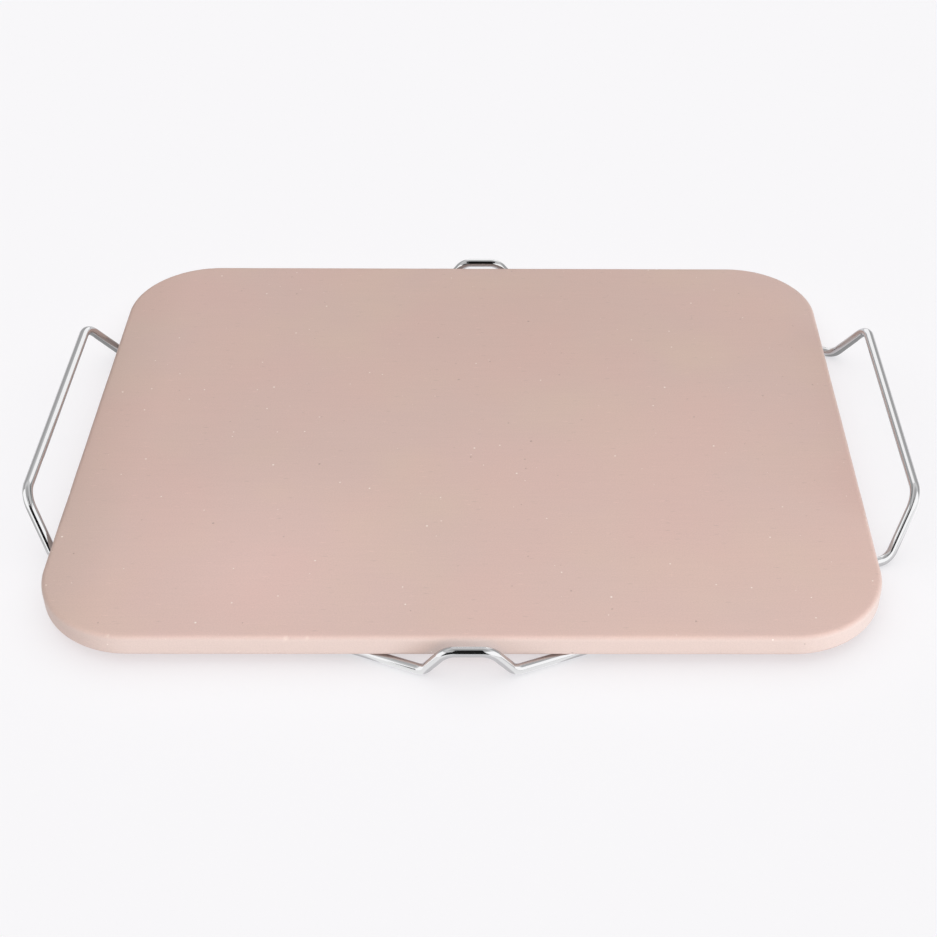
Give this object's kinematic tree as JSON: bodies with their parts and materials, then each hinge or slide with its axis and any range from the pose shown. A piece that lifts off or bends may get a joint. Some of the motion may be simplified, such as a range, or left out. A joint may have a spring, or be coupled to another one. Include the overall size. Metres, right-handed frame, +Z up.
{
  "type": "pizza stone",
  "caption": "Rectangular fired-clay baking slab with rounded corners, lying loose in a low rack of chromed wire that has a raised grip beyond each end.",
  "frame": {"origin": "on the table, under the middle of the rack", "axes": "+X along the slab towards the right-hand grip, +Y away from the front, +Z up"},
  "size_m": [0.4202, 0.3184, 0.0313],
  "materials": {
    "fired_clay": "matte, fine-grained, unglazed",
    "chromed_wire": "bright chrome plate on drawn steel wire"
  },
  "bodies": {
    "rack": {"rack_wire": "chromed_wire", "butt_weld": "chromed_wire"},
    "slab": {"baking_stone": "fired_clay"}
  },
  "joints": [
    {"name": "slab_lift", "type": "slide", "parent": "rack", "child": "slab", "axis": [0, 0, 1], "range_m": [0, 0.08]}
  ]
}
